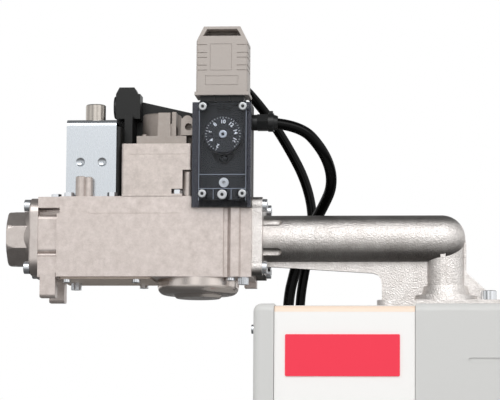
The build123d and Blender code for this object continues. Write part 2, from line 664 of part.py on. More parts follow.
def governor():
    low, top = body_top, 297.0
    case = block((-453.0, -382.5), (-43.0, 22.0), (low, top))
    case = fillet(case.edges().filter_by(Axis.Z), 2.5)
    case -= slab_y(at(-414.0, 286.1) * Rectangle(63, 0.8), -44, -42.6)
    case -= block((-391.6, -382.0), (-44.0, -32.0), (low - 1, 270.5))
    case -= rod_z(14.0, low - 1, low + 3, valve2_x, core_y)
    case -= rod_z(core_outer, low - 1, top + 1, valve2_x, core_y)
    case += block((-452.0, -391.6), (-45.0, -42.0), (low, low + 2.2))
    case -= block((-402.6, -391.0), (-44.0, -31.5), (low + 2.2, low + 7.4))
    case -= rod_z(2.5, low - 1, low + 3, *governor_screw)
    keep("governor_case", case)
    keep("outlet_armature", armature(valve2_x))
    bar = block((-438.8, -388.0), (-39.0, -22.0), (top, top + 8.2))
    bar = fillet(bar.edges().filter_by(Axis.Z), 1.0)
    tower = rod_z(19.5, top, 331.0, -417.0, core_y)
    tower -= rod_z(core_outer, top - 1, 318, valve2_x, core_y)
    keep("spring_tower", chamfer(tower.edges().sort_by(Axis.Z)[-1], 1.2))
    clamp = block((-417.5, -404.5), (-38.0, -21.8), (top + 8.2, 315.0)) + block((-417.0, -405.0), (-37.0, -22.0), (315.0, 329.0))
    clamp += block((-403.5, -399.5), (-34.0, -22.0), (top + 8.2, 330.0))
    clamp += block((-405.0, -403.0), (-34.0, -24.0), (top + 8.2, 318.0))
    keep("range_clamp", bar + clamp + rod_z(2.6, top + 8, top + 10.6, -431.5, -31))
    lug = block((-394.0, -382.6), (-38.0, -18.0), (306.0, 323.0))
    lug += slab_y(at(-387.8, 321.0) * Circle(5.0), -38.0, -18.0)
    lug += block((-397.0, -384.0), (-20.0, -10.0), (top, 318.0))
    lug -= rod_y(3.6, -39, -26, -386.5, 314.5)
    keep("vent_lug", lug)


def terminal_cover():
    """Black terminal housing behind the governor, with the round cable cap on its rear end."""
    roof = outline(
        (-466.0, 296.0), (-466.0, 355.0), (-447.0, 353.0), (-444.4, 350.6), (-386.0, 337.2), (-386.0, 296.0)
    )
    case = slab_y(roof, 31.3, 52.0)
    case += block((-466.0, -441.0), (8.0, 31.5), (329.5, 355.0))
    case += block((coil_end, -447.0), (-6.0, 31.5), (301.0, 331.0))
    crest = outline((-466.0, 355.0), (-462.4, 361.8), (-447.2, 361.8), (-441.0, 350.0), (-466.0, 350.0))
    keep("terminal_cover", case + slab_y(crest, 8.0, 31.4))
    cap = rod_x(11.6, -468.5, -466.0, 20.0, 342.5)
    cap = fillet(cap.edges().sort_by(Axis.X)[0], 1.2)
    keep("terminal_cap", cap - rod_x(7.5, -469, -467.5, 20.0, 342.5))


# ---- pressure switch ----
def switch():
    sides = (switch_x - switch_half_width, switch_x + switch_half_width)
    base = block(sides, (switch_front, switch_rear), (switch_low, switch_top))
    base = fillet(base.edges().filter_by(Axis.Y), 1.5)
    base -= block((sides[0] - 1, sides[1] + 1), (switch_step, switch_rear + 1), (switch_low - 1, body_top))
    base -= rod_y(4.0, switch_front - 1, switch_front + 10, dial_x, dial_z)
    recess = slab_y(at(dial_x, 285.5) * (Circle(10.5) & (Pos(0, -6) * Rectangle(24, 14))), switch_front - 1, switch_front + 5)
    base -= recess
    base -= slab_y(at(dial_x, 329.0) * RectangleRounded(14, 6, 1), switch_front - 1, switch_front + 3)
    for x, z in switch_screw_places:
        base -= rod_y(2.0, switch_front - 1, switch_front + 9, x, z)
    base -= rod_y(3.0, switch_front - 1, switch_front + 6, dial_x + 0.6, 257.0)
    base -= rod_y(2.0, switch_front - 1, switch_front + 9, dial_x, 243.6)
    keep("switch_base", base)
    cover = block((switch_x - switch_half_width, switch_x + switch_half_width), (switch_front - 2.0, switch_front), (switch_low, switch_top))
    box = block((cover_x - cover_half_width, cover_x + cover_half_width), (cover_front, switch_front), (switch_low + 4.5, switch_top - 1.2))
    box = fillet(box.edges().filter_by(Axis.Y), 1.5)
    cover += box
    cover -= block(
        (cover_x - cover_half_width + 1.6, cover_x + cover_half_width - 1.6),
        (cover_front + 1.6, switch_front + 1),
        (switch_low + 6.1, switch_top - 2.8),
    )
    for x, z in switch_screw_places:
        cover += rod_y(5.6, cover_front, switch_front, x, z)
        cover -= rod_y(2.3, cover_front - 1, switch_front + 1, x, z)
        cover -= rod_y(5.0, cover_front - 1, cover_front + 2, x, z)
    cover += rod_y(6.0, cover_front, switch_front, dial_x, 243.6) & block((-400, -300), (-61, -44), (237.2, 250))
    cover -= rod_y(2.3, cover_front - 1, switch_front + 1, dial_x, 243.6)
    cover -= rod_y(5.4, cover_front - 1, cover_front + 2, dial_x, 243.6)
    keep("switch_cover", cover)
    screws = [pan_screw(4.3, x, z, cover_front + 2) for x, z in switch_screw_places]
    screws.append(pan_screw(4.4, dial_x, dial_z, -53.6))
    screws.append(pan_screw(5.1, dial_x, 243.6, cover_front + 2))
    keep("cover_screws", group(screws))
    dial = rod_y(dial_radius, -53.5, -47.5, dial_x, dial_z)
    dial = chamfer(dial.edges().sort_by(Axis.Y)[0], 0.8)
    dial += rod_y(4.0 - running_gap, -47.5, switch_front + 9, dial_x, dial_z)
    dial -= rod_y(2.0, -54, switch_front + 12, dial_x, dial_z)
    keep("switch_dial", dial)
    pin = rod_y(4.8, -47.6, switch_front, dial_x + 0.6, 257.0) + rod_y(3.0, switch_front, switch_front + 6, dial_x + 0.6, 257.0)
    keep("sealing_plug", pin - rod_y(1.6, -49, -44, dial_x + 0.6, 257.0))
    keep("test_button", Pos(dial_x, switch_front + 2.0, 281.5) * Sphere(4.2) & block((-380, -320), (-52, switch_front + 5), (270, 285)))


switch_screw_places = [(dial_x + x, z) for x in (-20.0, 20.0) for z in (332.0, 244.6)]


def pan_screw(head, x, z, seat):
    """A pan head screw driven along +Y, with its head's seat at this Y."""
    body = rod_y(head, seat - 2.2, seat, x, z)
    body = fillet(body.edges().sort_by(Axis.Y)[0], 1.0)
    body += rod_y(1.95, seat, switch_front + 8, x, z)
    return body - slab_y(at(x, z) * RegularPolygon(2.0, 6), seat - 3, seat - 1)


def signal_plug():
    """Grey mains plug on the switch's socket: grip ribs, latch window and rear cable outlet."""
    profile = outline(
        (switch_x - plug_half_width, plug_low),
        (switch_x + plug_half_width, plug_low),
        (switch_x + plug_half_width, plug_top - 15),
        (switch_x + plug_half_width - 7.5, plug_top),
        (switch_x - plug_half_width + 7.5, plug_top),
        (switch_x - plug_half_width, plug_top - 15),
    )
    plug = slab_y(profile, plug_front, plug_rear)
    plug = fillet(plug.edges().filter_by(Axis.Z), 2.5)
    plug += block((switch_x - plug_half_width - 1.4, switch_x + plug_half_width + 1.4), (plug_front - 1.2, plug_rear + 0.5), (plug_low - 1.5, plug_low + 1.8))
    window = outline(
        (switch_x - 19.2, plug_top - 9.5), (switch_x + 19.2, plug_top - 9.5),
        (switch_x + 15.0, plug_top - 2.5), (switch_x - 15.0, plug_top - 2.5),
    )
    plug -= slab_y(window, plug_front - 1, plug_front + 22)
    for z in (395.5, 387.5, 382.6, 374.8, 369.8):
        for side in (-1, 1):
            x = sorted((switch_x + side * 15, switch_x + side * 30))
            plug -= block(x, (plug_front - 1, plug_front + 0.8), (z - 0.5, z + 0.5))
            plug -= block(sorted((switch_x + side * (plug_half_width - 0.8), switch_x + side * 30)), (plug_front - 1, plug_rear + 1), (z - 0.5, z + 0.5))
    frame = at(switch_x - 1, 383) * (Rectangle(22, 27) - Rectangle(21, 26))
    plug -= slab_y(frame, plug_front - 1, plug_front + 0.5)
    plate = at(switch_x, 359.5) * (Rectangle(33, 9.5) - Rectangle(32, 8.5))
    plug -= slab_y(plate, plug_front - 1, plug_front + 0.5)
    plug -= rod_y(7.2, plug_rear - 6, plug_rear + 1, plug_outlet[0], plug_outlet[2])
    keep("signal_plug", plug)
    socket = block((switch_x - 22.0, switch_x + 22.0), (plug_front + 5, plug_rear - 3), (switch_top, plug_low - 1.5))
    for x in (-7.5, 7.5):
        socket += block((switch_x + x - 0.8, switch_x + x + 0.8), (plug_front + 3, plug_front + 5), (switch_top, plug_low - 1.5))
    keep("switch_socket", socket)
    x, y, z = plug_outlet
    boot = rod_y(7.2, plug_rear - 6, plug_rear + 1.5, x, z) + Pos(x, plug_rear + 8, z) * Rot(-90, 0, 0) * Cone(8.6, cable1_radius + 1.2, 13)
    keep("plug_boot", boot - rod_y(cable1_radius, plug_rear - 3, plug_rear + 20, x, z))


cable1_radius, cable2_radius = 5.0, 5.6
plug_outlet = (-341.0, plug_rear, 366.0)
gland_place = (switch_x + switch_half_width, -29.0, 319.5)


def gland():
    x, y, z = gland_place
    body = rod_x(8.0, x, x + 5, y, z)
    nut = slab_x(Pos(y, z) * RegularPolygon(9.2, 6), x + 5, x + 16)
    ring = rod_x(9.3, x + 16, x + 21.5, y, z)
    tab = block((x + 17, x + 20.5), (y - 2.5, y + 2.5), (z + 8, z + 11.5))
    dome = Pos(x + 23.5, y, z) * Rot(0, 90, 0) * Cone(8.0, 6.6, 4)
    keep("cable_gland", body + nut + ring + tab + dome - rod_x(cable2_radius, x + 4, x + 30, y, z))


# ---- cables ----
def arc_radii(points):
    """The widest arc at each corner: 0.45 of the shorter run, over the tangent of half the turn."""
    radii = []
    for a, b, c in zip(points, points[1:], points[2:]):
        before, after = Vector(*b) - Vector(*a), Vector(*c) - Vector(*b)
        half_turn = radians(before.get_angle(after)) / 2
        radii.append(0.45 * min(before.length, after.length) / tan(half_turn))
    return radii


def cable(points, radius):
    radii = arc_radii(points)
    path = FilletPolyline(*points, radius=radii)
    start = Vector(*points[1]) - Vector(*points[0])
    section = Plane(origin=points[0], z_dir=start) * Circle(radius)
    tube = sweep(section, path=path)
    print("cable", radius, "length", round(path.length, 1), "radii", [round(r) for r in radii],
          "volume share", round(tube.volume / (pi * radius ** 2 * path.length), 4))
    return tube


# The plug's lead leaves the back of the plug, drops behind the gas arm and enters the hood's top.
plug_cable_points = [
    (-341.0, -17.0, 366.0),
    (-341.0, 13.0, 366.0),
    (-330.0, 33.0, 357.0),
    (-311.0, 46.0, 334.0),
    (-293.0, 52.0, 306.0),
    (-275.0, 54.0, 272.0),
    (-266.5, 54.0, 236.0),
    (-270.0, 55.0, 202.0),
    (-276.5, 57.0, 172.0),
    (-280.5, 58.0, 143.0),
    (-280.5, 58.0, 118.0),
]
# The switch's lead leaves the gland, arches over towards the arm, and follows the first one down.
switch_cable_points = [
    (-318.0, -29.0, 319.5),
    (-277.0, -29.0, 319.5),
    (-250.0, -20.0, 290.0),
    (-243.0, 6.0, 262.0),
    (-257.0, 30.0, 237.0),
    (-276.0, 39.0, 207.0),
    (-284.5, 41.0, 176.0),
    (-291.5, 42.0, 147.0),
    (-291.5, 42.0, 118.0),
]


def build():
    keep("fan_housing", fan_housing())
    keep("fan_wheel", fan_wheel())
    motor()
    air_intake()
    blast_tube()
    mixing_head()
    hood()
    under_hood()
    keep("gas_arm", gas_arm())
    right = [cap_screw(5.0, 20, 8.0, 10.0, 4.6, (x, y, arm_plate_top), (0, 0, -1)) for x, y in arm_bolt_places[:2]]
    left = [cap_screw(5.0, 13, 8.0, 7.0, 4.6, (x, y, pad_top + 3.5), (0, 0, -1)) for x, y in arm_bolt_places[2:]]
    keep("arm_bolts", group(right + left))
    keep("valve_body", valve_body())
    lower_fittings()
    inlet_flange()
    inlet_solenoid()
    upper_fittings()
    governor()
    terminal_cover()
    switch()
    signal_plug()
    gland()
    keep("plug_cable", cable(plug_cable_points, cable1_radius))
    keep("switch_cable", cable(switch_cable_points, cable2_radius))
    os.makedirs("parts", exist_ok=True)
    for name, shape in parts.items():
        export_step(shape, f"parts/{name}.step")


build()
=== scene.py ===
import math

import bmesh
import bpy
from mathutils import Matrix, Vector


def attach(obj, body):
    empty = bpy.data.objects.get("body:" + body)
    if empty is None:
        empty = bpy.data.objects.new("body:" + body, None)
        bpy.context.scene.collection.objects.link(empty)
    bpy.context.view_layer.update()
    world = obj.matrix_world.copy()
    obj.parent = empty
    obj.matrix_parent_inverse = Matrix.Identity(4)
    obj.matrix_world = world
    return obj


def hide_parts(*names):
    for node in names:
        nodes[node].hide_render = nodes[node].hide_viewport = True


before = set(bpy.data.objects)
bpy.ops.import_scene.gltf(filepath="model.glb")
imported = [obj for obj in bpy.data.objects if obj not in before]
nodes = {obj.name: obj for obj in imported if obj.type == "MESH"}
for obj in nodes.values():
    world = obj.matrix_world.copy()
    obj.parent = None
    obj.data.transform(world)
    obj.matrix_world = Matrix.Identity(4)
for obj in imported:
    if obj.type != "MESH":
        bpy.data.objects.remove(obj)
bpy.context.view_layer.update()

scene = bpy.context.scene
print("frame loaded:", len(nodes), "nodes")

mm = 0.001
weldGap = 0.02 * mm
roundedAngle, plainAngle = 40, 30  # degrees above which an edge stays sharp


def linearColour(hexColour):
    channels = [int(hexColour[i:i + 2], 16) / 255 for i in (1, 3, 5)]
    return tuple(c / 12.92 if c <= 0.04045 else ((c + 0.055) / 1.055) ** 2.4 for c in channels) + (1.0,)


def addNode(tree, kind, settings=None, links=None):
    node = tree.nodes.new(kind)
    for key, value in (settings or {}).items():
        if key in node.inputs and not hasattr(node, key):
            node.inputs[key].default_value = value
        else:
            setattr(node, key, value)
    for key, source in (links or {}).items():
        tree.links.new(source, node.inputs[key])
    return node


def setColours(ramp, stops):
    while len(ramp.color_ramp.elements) < len(stops):
        ramp.color_ramp.elements.new(0.5)
    for element, (position, colour) in zip(ramp.color_ramp.elements, stops):
        element.position, element.color = position, colour


def setTones(ramp, stops):
    setColours(ramp, [(position, (tone, tone, tone, 1)) for position, tone in stops])


def newMaterial(name, settings):
    material = bpy.data.materials.new(name)
    material.use_nodes = True
    tree = material.node_tree
    shader = tree.nodes["Principled BSDF"]
    for key, value in settings.items():
        shader.inputs[key].default_value = value
    return material, tree, shader


def grainBump(tree, shader, sizeMm, depthMm, detail=3.0, strength=1.0):
    place = addNode(tree, "ShaderNodeTexCoord")
    noise = addNode(tree, "ShaderNodeTexNoise", {"Scale": 1 / (sizeMm * mm), "Detail": detail, "Roughness": 0.6},
                    {"Vector": place.outputs["Object"]})
    bump = addNode(tree, "ShaderNodeBump", {"Distance": depthMm * mm, "Strength": strength},
                   {"Height": noise.outputs["Fac"]})
    tree.links.new(bump.outputs["Normal"], shader.inputs["Normal"])
    return place, noise


def mottle(tree, shader, place, sizeMm, darkHex, lightHex, roughLow, roughHigh):
    # slow change of tone and polish over the surface, as handling and casting flow leave it
    noise = addNode(tree, "ShaderNodeTexNoise", {"Scale": 1 / (sizeMm * mm), "Detail": 9.0, "Roughness": 0.8},
                    {"Vector": place.outputs["Object"]})
    ramp = addNode(tree, "ShaderNodeValToRGB", None, {"Fac": noise.outputs["Fac"]})
    setColours(ramp, [(0.3, linearColour(darkHex)), (0.7, linearColour(lightHex))])
    tree.links.new(ramp.outputs["Color"], shader.inputs["Base Color"])
    rough = addNode(tree, "ShaderNodeMapRange", {"To Min": roughLow, "To Max": roughHigh},
                    {"Value": noise.outputs["Fac"]})
    tree.links.new(rough.outputs["Result"], shader.inputs["Roughness"])


def dieCastAluminium(name, darkHex, lightHex, roughLow=0.36, roughHigh=0.5, metallic=0.7):
    # pressure die-cast aluminium: matt grey with a slight warm cast, fine orange-peel skin
    material, tree, shader = newMaterial(name, {"Metallic": metallic})
    place, _ = grainBump(tree, shader, 1.3, 0.12, 4.0, 1.0)  # skin 0.3 mm in life, drawn at 1.3 mm to show
    mottle(tree, shader, place, 9, darkHex, lightHex, roughLow, roughHigh)
    return material


def sandCastAluminium(name):
    # sand-cast aluminium, blasted: bright, with 1 mm grain that breaks up the highlights, and painted shade under the
    # arm and along its top
    material, tree, shader = newMaterial(name, {"Metallic": 1.0})
    place, _ = grainBump(tree, shader, 1.5, 0.8, 2.0, 1.0)
    mottle(tree, shader, place, 16, "#C6C0BC", "#EEEAE7", 0.34, 0.46)
    # painted shade: the base colour is darkened where the arm faces down, under it, and along its top, set by the
    # surface's facing
    facing = addNode(tree, "ShaderNodeNewGeometry")
    split = addNode(tree, "ShaderNodeSeparateXYZ", None, {"Vector": facing.outputs["Normal"]})
    height = addNode(tree, "ShaderNodeMapRange", {"From Min": -1.0, "From Max": 1.0}, {"Value": split.outputs["Z"]})
    tone = addNode(tree, "ShaderNodeValToRGB", None, {"Fac": height.outputs["Result"]})
    setTones(tone, [(0.0, 0.16), (0.17, 0.24), (0.4, 0.95), (0.46, 1.0), (0.78, 1.0), (0.9, 0.42)])
    # painted shade multiplied into the base colour
    paintedShade = addNode(tree, "ShaderNodeMix", {"data_type": "RGBA", "blend_type": "MULTIPLY"})
    paintedShade.inputs[0].default_value = 1.0
    unshaded = shader.inputs["Base Color"].links[0].from_socket
    tree.links.new(unshaded, paintedShade.inputs[6])
    tree.links.new(tone.outputs["Color"], paintedShade.inputs[7])
    tree.links.new(paintedShade.outputs[2], shader.inputs["Base Color"])
    return material


def zincSheet(name):
    # bright zinc plating on sheet: bluish, with faint rolling lines 2 mm apart
    material, tree, shader = newMaterial(name, {"Metallic": 1.0, "Roughness": 0.25})
    place = addNode(tree, "ShaderNodeTexCoord")
    stretch = addNode(tree, "ShaderNodeMapping", {"Scale": (1.0, 1.0, 0.12)}, {"Vector": place.outputs["Object"]})
    noise = addNode(tree, "ShaderNodeTexNoise", {"Scale": 1 / (2.0 * mm), "Detail": 3.0},
                    {"Vector": stretch.outputs["Vector"]})
    rough = addNode(tree, "ShaderNodeMapRange", {"To Min": 0.2, "To Max": 0.34}, {"Value": noise.outputs["Fac"]})
    tree.links.new(rough.outputs["Result"], shader.inputs["Roughness"])
    bump = addNode(tree, "ShaderNodeBump", {"Distance": 0.02 * mm, "Strength": 0.35}, {"Height": noise.outputs["Fac"]})
    tree.links.new(bump.outputs["Normal"], shader.inputs["Normal"])
    shader.inputs["Base Color"].default_value = linearColour("#C4C9CE")
    return material


def plainMetal(name, hexColour, roughness):
    material, _, _ = newMaterial(name, {"Metallic": 1.0, "Roughness": roughness, "Base Color": linearColour(hexColour)})
    return material


def mouldedPlastic(name, hexColour, roughness, grainMm=0.0, ior=1.42):
    material, tree, shader = newMaterial(
        name, {"Roughness": roughness, "Base Color": linearColour(hexColour), "IOR": ior})
    if grainMm:
        grainBump(tree, shader, grainMm, 0.03, 2.0, 0.4)
    return material


def powderCoat(name, hexColour, roughness=0.42):
    # powder coat: even colour, faint orange peel about 1.5 mm across
    material, tree, shader = newMaterial(
        name, {"Roughness": roughness, "Base Color": linearColour(hexColour), "IOR": 1.5})
    grainBump(tree, shader, 1.5, 0.02, 1.0, 0.35)
    return material


coverBox = {"x": -350.3, "half": 24.0, "front": -60.0, "wall": 1.6, "milk": 0.45, "ribWidth": 0.55, "ribDepth": 1.2,
            "ribs": [((-373, 263.8), (-327.6, 263.8)), ((-373, 249.7), (-327.6, 249.7)),
                     ((-359.2, 238.8), (-359.2, 249.7)), ((-341.4, 238.8), (-341.4, 249.7)),
                     ((-373.7, 237.6), (-373.7, 336.0)), ((-326.9, 237.6), (-326.9, 336.0))]}


def clearMoulding(name):
    # clear polycarbonate, polished: a thin wall, see-through, with sharp reflections towards its edges
    material, tree, shader = newMaterial(name, {
        "Base Color": linearColour("#FFFFFF"), "Metallic": 1.0, "Roughness": 0.05})
    clear = addNode(tree, "ShaderNodeBsdfTransparent", {"Color": (0.93, 0.95, 0.98, 1.0)})
    edge = addNode(tree, "ShaderNodeFresnel", {"IOR": 1.22})
    mix = addNode(tree, "ShaderNodeMixShader", None, {"Fac": edge.outputs["Fac"]})
    out = tree.nodes["Material Output"]
    tree.links.new(clear.outputs["BSDF"], mix.inputs[1])
    tree.links.new(shader.outputs["BSDF"], mix.inputs[2])
    # the flat flange round the raised box is milky: it lies on the base and shows its moulded back
    place = addNode(tree, "ShaderNodeNewGeometry")
    split = addNode(tree, "ShaderNodeSeparateXYZ", None, {"Vector": place.outputs["Position"]})
    offset = addNode(tree, "ShaderNodeMath", {"operation": "SUBTRACT"})
    offset.inputs[1].default_value = coverBox["x"] * mm
    tree.links.new(split.outputs["X"], offset.inputs[0])
    far = addNode(tree, "ShaderNodeMath", {"operation": "ABSOLUTE"})
    tree.links.new(offset.outputs["Value"], far.inputs[0])
    outside = addNode(tree, "ShaderNodeMath", {"operation": "GREATER_THAN"})
    outside.inputs[1].default_value = (coverBox["half"] + 0.2) * mm
    tree.links.new(far.outputs["Value"], outside.inputs[0])
    share = addNode(tree, "ShaderNodeMath", {"operation": "MULTIPLY"})
    share.inputs[1].default_value = coverBox["milk"]
    tree.links.new(outside.outputs["Value"], share.inputs[0])
    milk = addNode(tree, "ShaderNodeBsdfPrincipled", {"Base Color": linearColour("#5A5C68"), "Roughness": 0.3})
    whole = addNode(tree, "ShaderNodeMixShader", None, {"Fac": share.outputs["Value"]})
    tree.links.new(mix.outputs["Shader"], whole.inputs[1])
    tree.links.new(milk.outputs["BSDF"], whole.inputs[2])
    tree.links.new(whole.outputs["Shader"], out.inputs["Surface"])
    return material


def clearEdge(name):
    # painted highlight: the rounded rim of a clear moulding is drawn half see-through, half a pale grey-blue, for the
    # light it catches
    material, tree, shader = newMaterial(name, {"Base Color": linearColour("#C9CEDA"), "Roughness": 0.3})
    clear = addNode(tree, "ShaderNodeBsdfTransparent", {"Color": (1, 1, 1, 1)})
    mix = addNode(tree, "ShaderNodeMixShader", {"Fac": 0.5})
    tree.links.new(clear.outputs["BSDF"], mix.inputs[1])
    tree.links.new(shader.outputs["BSDF"], mix.inputs[2])
    tree.links.new(mix.outputs["Shader"], tree.nodes["Material Output"].inputs["Surface"])
    return material


def ivoryWithPaintedReflection(name):
    # ivory powder coat, with a peach tint painted where the sheet bends over at the top as a painted reflection, set by
    # the surface's facing
    material, tree, shader = newMaterial(name, {"Roughness": 0.42, "IOR": 1.5})
    facing = addNode(tree, "ShaderNodeNewGeometry")
    split = addNode(tree, "ShaderNodeSeparateXYZ", None, {"Vector": facing.outputs["Normal"]})
    # painted reflection: peach on faces that slope between upright and level
    ramp = addNode(tree, "ShaderNodeValToRGB", None, {"Fac": split.outputs["Z"]})
    stops = [(0.0, "#FDFCFA"), (0.15, "#FBE6D3"), (0.85, "#FBE3CE"), (0.99, "#F6F4F0")]
    setColours(ramp, [(position, linearColour(hexColour)) for position, hexColour in stops])
    tree.links.new(ramp.outputs["Color"], shader.inputs["Base Color"])
    return material


finishes = {
    "bodyCasting": dieCastAluminium("die-cast aluminium, body", "#BAAFA9", "#DDD3CE"),
    "coverCasting": dieCastAluminium("die-cast aluminium, lower cover", "#B4A599", "#D2C4B8", 0.4, 0.5, 0.5),
    "flangeCasting": dieCastAluminium("die-cast aluminium, machined", "#B8AFAA", "#CFC7C2", 0.3, 0.4, 0.95),
    "trimCasting": dieCastAluminium("die-cast aluminium, upper parts", "#B2A8A2", "#D8CEC8", 0.38, 0.5),
    # painted shade: the spring tower gets a darker copy of the casting for the shade it stands in
    "towerCasting": dieCastAluminium("die-cast aluminium, painted shade", "#8B827B", "#9C938D", 0.42, 0.52),
    "barCasting": dieCastAluminium("die-cast aluminium, dull", "#9A918A", "#A8A09A", 0.42, 0.52),
    "coverScrew": plainMetal("zinc plated cover screw", "#B4B6B8", 0.22),
    "dishCasting": plainMetal("turned aluminium, satin", "#D6CDC7", 0.24),
    "armCasting": sandCastAluminium("sand-cast aluminium, blasted"),
    "zinc": zincSheet("zinc plated sheet"),
    "screwZinc": plainMetal("zinc plated screw", "#D3D6DA", 0.2),
    "turnedZinc": plainMetal("zinc plated, turned", "#C2BBB3", 0.26),
    "brightHead": plainMetal("bright zinc plated head", "#DDDFE2", 0.14),
    "stainless": plainMetal("stainless sheet, rolled", "#B6B3AE", 0.33),
    "steel": plainMetal("ground steel", "#A4A6A8", 0.3),
    "iron": plainMetal("machined cast iron", "#6E7072", 0.5),
    "blackMoulded": mouldedPlastic("black polyamide, moulded", "#0F100F", 0.45, 0.9),
    "blackSatin": mouldedPlastic("black polyamide, satin", "#131415", 0.34),
    "slate": mouldedPlastic("slate grey polyamide", "#151415", 0.55),
    "dialGrey": mouldedPlastic("dark grey dial, moulded", "#1E1E20", 0.45),
    "blackGloss": mouldedPlastic("black button, polished", "#101113", 0.12),
    "white": mouldedPlastic("white polyamide", "#EEECE8", 0.4),
    "print": mouldedPlastic("white pad print", "#FFFFFF", 0.5),
    "plugGrey": mouldedPlastic("warm grey polyamide, moulded", "#B6AEA8", 0.45, 0.8),
    "cableJacket": mouldedPlastic("black cable jacket, extruded", "#020202", 0.2, 0.0, 1.22),
    "hoodGrey": powderCoat("light grey powder coat", "#D6D6D4"),
    "hoodIvory": ivoryWithPaintedReflection("ivory powder coat"),
    "panGrey": powderCoat("grey powder coat", "#7C7F82"),
    "darkCoat": powderCoat("dark grey powder coat", "#2E3033"),
    "redFilm": mouldedPlastic("red film, gloss", "#FB3A52", 0.4),
    "redButton": mouldedPlastic("red button, polished", "#B3262E", 0.2),
    "fibre": mouldedPlastic("pressed ceramic fibre", "#D8D3C8", 0.9, 1.2),
    "ceramic": mouldedPlastic("glazed ceramic", "#E9E6DF", 0.15),
    "clear": clearMoulding("clear polycarbonate"),
    "clearEdge": clearEdge("polycarbonate edge, catching light"),
}
print("materials made:", len(finishes))

nodeFinish = {
    "valve_body": "bodyCasting", "bottom_cover": "coverCasting", "governor_dish": "dishCasting",
    "bottom_screws": "brightHead", "lower_test_plugs": "screwZinc", "top_screws": "screwZinc",
    "inlet_flange": "flangeCasting", "inlet_screws": "screwZinc", "outlet_screws": "screwZinc",
    "arm_bolts": "brightHead", "gas_arm": "armCasting", "coil_yoke": "zinc", "coil_block": "blackMoulded",
    "core_tubes": "turnedZinc", "inlet_armature": "steel", "outlet_armature": "steel",
    "test_nipples": "trimCasting", "governor_case": "trimCasting", "range_clamp": "barCasting",
    "spring_tower": "towerCasting", "vent_lug": "barCasting", "terminal_cover": "blackMoulded",
    "terminal_cap": "blackSatin", "switch_base": "slate", "switch_cover": "clear", "cover_screws": "coverScrew",
    "switch_dial": "dialGrey", "sealing_plug": "white", "test_button": "blackGloss", "signal_plug": "plugGrey",
    "switch_socket": "blackSatin", "plug_boot": "blackMoulded", "cable_gland": "blackSatin",
    "plug_cable": "cableJacket", "switch_cable": "cableJacket", "cable_grommets": "blackMoulded",
    "hood_shell": "hoodGrey", "side_panels": "hoodIvory", "badge_plate": "redFilm", "hood_screws": "screwZinc",
    "base_pan": "panGrey", "reset_button": "redButton", "control_box": "blackMoulded",
    "ignition_transformer": "blackMoulded", "terminal_block": "blackMoulded", "fan_housing": "bodyCasting",
    "fan_wheel": "steel", "motor_case": "darkCoat", "motor_rotor": "steel", "motor_capacitor": "blackMoulded",
    "air_box": "darkCoat", "damper_blade": "steel", "damper_actuator": "blackMoulded", "blast_tube": "stainless",
    "boiler_flange": "iron", "flange_gasket": "fibre", "gas_lance": "steel", "baffle_plate": "stainless",
    "electrodes": "ceramic",
}

# edge rounding in mm for the nodes that show; the rest keep their solid's own edges
edgeRounding = {
    "valve_body": 1.1, "inlet_flange": 0.9, "gas_arm": 1.6, "governor_case": 1.0, "range_clamp": 0.7,
    "spring_tower": 0.8, "vent_lug": 0.8, "governor_dish": 0.5, "bottom_cover": 0.6, "signal_plug": 0.5,
    "terminal_cover": 1.0, "coil_yoke": 0.4, "coil_block": 0.8, "switch_base": 0.5, "switch_cover": 0.7,
    "hood_shell": 0.6, "side_panels": 0.5, "fan_housing": 1.2, "motor_case": 0.8, "air_box": 0.6,
    "arm_bolts": 0.4, "inlet_screws": 0.35, "outlet_screws": 0.35, "bottom_screws": 0.3, "top_screws": 0.3,
    "cable_gland": 0.4, "plug_boot": 0.4, "core_tubes": 0.3, "test_nipples": 0.3, "boiler_flange": 0.8,
}

# nodes whose rounded edges carry a finish of their own; on the clear cover it is a painted highlight
edgeFinish = {"switch_cover": "clearEdge"}


def smoothByAngle(thing, degrees):
    # shades curved faces smooth and keeps edges sharper than this angle
    for key in ("custom_normal", "sharp_face"):
        if key in thing.data.attributes:
            thing.data.attributes.remove(thing.data.attributes[key])
    thing.data.polygons.foreach_set("use_smooth", [True] * len(thing.data.polygons))
    thing.data.update()
    split = thing.modifiers.new("sharp edges", "EDGE_SPLIT")
    split.split_angle = math.radians(degrees)
    split.use_edge_sharp = False
    level = thing.modifiers.new("flat faces first", "WEIGHTED_NORMAL")
    level.mode = "FACE_AREA"
    level.weight = 100
    level.keep_sharp = False


def roundEdges(thing, width, segments=3, degrees=32):
    bevel = thing.modifiers.new("edges", "BEVEL")
    bevel.width = width * mm
    bevel.segments = segments
    bevel.limit_method = "ANGLE"
    bevel.angle_limit = math.radians(degrees)
    bevel.harden_normals = False
    bevel.miter_outer = "MITER_ARC"


def dressNode(node):
    thing = nodes[node]
    thing.data.materials.clear()
    thing.data.materials.append(finishes[nodeFinish[node]])
    weld = thing.modifiers.new("weld", "WELD")
    weld.merge_threshold = weldGap
    if node in edgeRounding:
        roundEdges(thing, edgeRounding[node])
    if node in edgeFinish:
        thing.data.materials.append(finishes[edgeFinish[node]])
        thing.modifiers["edges"].material = 1
    smoothByAngle(thing, roundedAngle if node in edgeRounding else plainAngle)


for name in nodes:
    dressNode(name)
print("nodes dressed")


plugCable = {
    "radius": 5.0,
    "points": [(-341, -17, 366), (-341, 13, 366), (-330, 33, 357), (-311, 46, 334), (-293, 52, 306),
               (-275, 54, 272), (-266.5, 54, 236), (-270, 55, 202), (-276.5, 57, 172), (-280.5, 58, 143),
               (-280.5, 58, 118)],
    "body": "burner", "node": "plug_cable",
}
switchCable = {
    "radius": 5.6,
    "points": [(-318, -29, 319.5), (-277, -29, 319.5), (-250, -20, 290), (-243, 6, 262), (-257, 30, 237),
               (-276, 39, 207), (-284.5, 41, 176), (-291.5, 42, 147), (-291.5, 42, 118)],
    "body": "burner", "node": "switch_cable",
}


